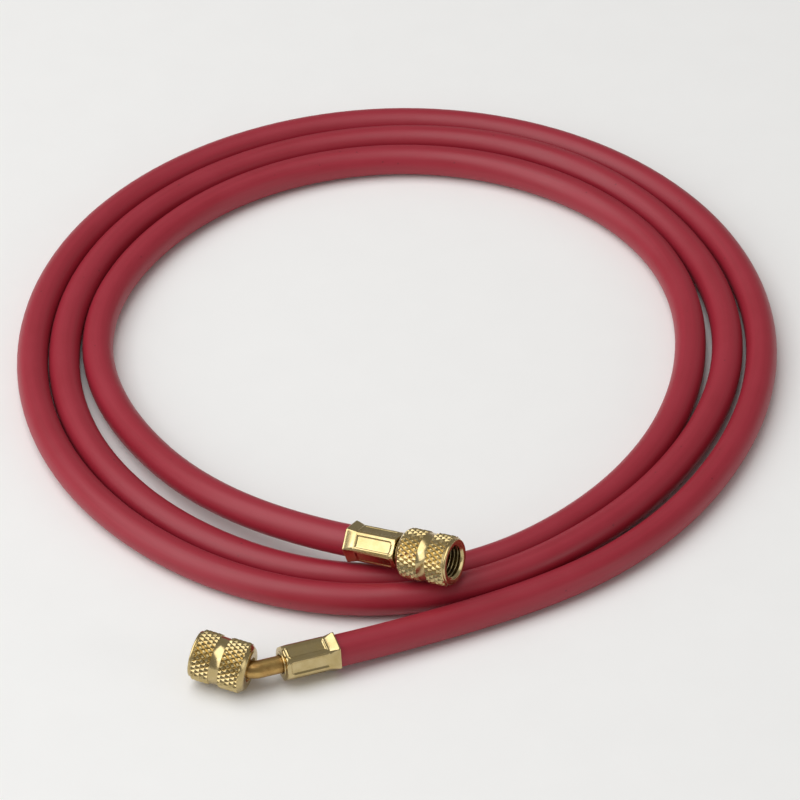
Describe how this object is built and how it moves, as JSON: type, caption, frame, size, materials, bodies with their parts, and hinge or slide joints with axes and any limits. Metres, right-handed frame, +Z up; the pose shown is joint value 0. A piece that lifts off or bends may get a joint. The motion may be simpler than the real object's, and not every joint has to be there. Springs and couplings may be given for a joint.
{
  "type": "refrigerant charging hose",
  "caption": "Red rubber charging hose lying in a loose coil, with a straight knurled brass swivel nut at one end and a bent brass tube with a knurled swivel nut at the other.",
  "frame": {"origin": "on the floor under the middle of the coiled hose's bounding box", "axes": "+Z up from the floor, -Y towards the front, where both fittings lie, +X to the right"},
  "size_m": [0.2498, 0.2938, 0.0289],
  "materials": {
    "hose_rubber": "satin",
    "turned_brass": "polished",
    "tube_brass": "satin",
    "seal_rubber": "satin"
  },
  "bodies": {
    "hose_assembly": {"hose": "hose_rubber", "ferrule_straight": "turned_brass", "stem_straight": "tube_brass", "seal_straight": "seal_rubber", "ferrule_angled": "turned_brass", "stem_angled": "tube_brass", "seal_angled": "seal_rubber", "core_depressor": "turned_brass"},
    "straight_nut": {"nut_straight": "turned_brass"},
    "angled_nut": {"nut_angled": "turned_brass"}
  },
  "joints": [
    {"name": "straight_nut_swivel", "type": "hinge", "parent": "hose_assembly", "child": "straight_nut", "pos_m": [0.00214, -0.09718, 0.01847], "axis": [0.8813, -0.4461, 0.1561], "continuous": true},
    {"name": "angled_nut_swivel", "type": "hinge", "parent": "hose_assembly", "child": "angled_nut", "pos_m": [-0.04491, -0.13994, 0.00804], "axis": [-0.9372, 0.3414, 0.0706], "continuous": true}
  ]
}
